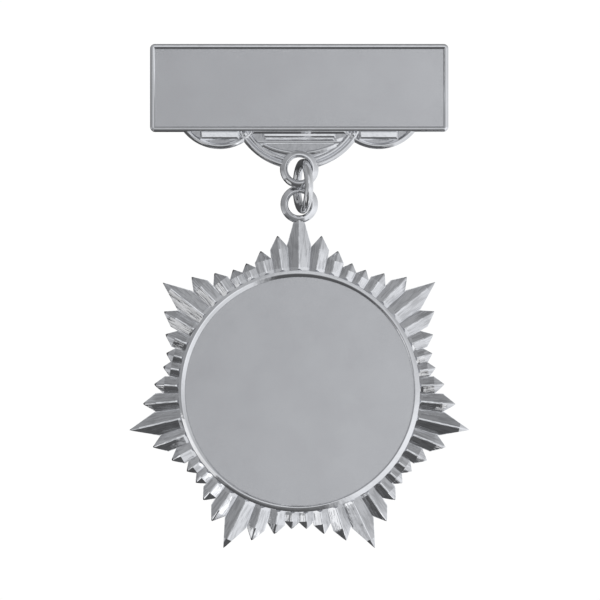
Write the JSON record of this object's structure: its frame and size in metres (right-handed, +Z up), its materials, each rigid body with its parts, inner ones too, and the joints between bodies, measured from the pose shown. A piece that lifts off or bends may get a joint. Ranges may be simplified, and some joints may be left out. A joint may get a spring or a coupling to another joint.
{
  "type": "medal",
  "caption": "Rayed star medal with a round blank plate, hung by a jump ring from a flat brooch bar with scalloped swags and a hinged pin.",
  "frame": {"origin": "middle of the bar's flat back, where the brooch pin holds the bar to the cloth", "axes": "+Z up the hanging medal, +X to the viewer's right, the medal's face looks along -Y"},
  "size_m": [0.0508, 0.0086, 0.0759],
  "materials": {
    "cast_metal": "polished bright plating on a cast alloy",
    "plate_metal": "satin-polished flat plate",
    "ring_metal": "bright drawn wire",
    "pin_metal": "plated steel",
    "adhesive_film": "double-sided film",
    "solder": "dull soft solder"
  },
  "bodies": {
    "bar": {"bar_frame": "cast_metal", "bar_plate_adhesive": "adhesive_film", "bar_plate": "plate_metal", "brooch_solder": "solder", "brooch_strip": "pin_metal", "hinge_rivet": "pin_metal", "catch_housing": "pin_metal"},
    "needle": {"needle": "pin_metal"},
    "catch": {"catch_barrel": "pin_metal"},
    "ring": {"jump_ring": "ring_metal"},
    "star": {"star_body": "cast_metal", "star_plate_adhesive": "adhesive_film", "star_plate": "plate_metal"}
  },
  "joints": [
    {"name": "ring_swing", "type": "hinge", "parent": "bar", "child": "ring", "pos_m": [0, -0.001, -0.0122], "axis": [0, 1, 0], "range_deg": [-35, 35]},
    {"name": "star_swing", "type": "hinge", "parent": "ring", "child": "star", "pos_m": [0.00055, -0.00015, -0.0148], "axis": [0.9659, 0.2588, 0], "range_deg": [-50, 50]},
    {"name": "needle_open", "type": "hinge", "parent": "bar", "child": "needle", "pos_m": [-0.013, 0.00275, 0], "axis": [0, 0, 1], "range_deg": [0, 75]},
    {"name": "catch_turn", "type": "hinge", "parent": "bar", "child": "catch", "pos_m": [0.0122, 0.00275, 0], "axis": [-1, 0, 0], "range_deg": [0, 90]}
  ]
}
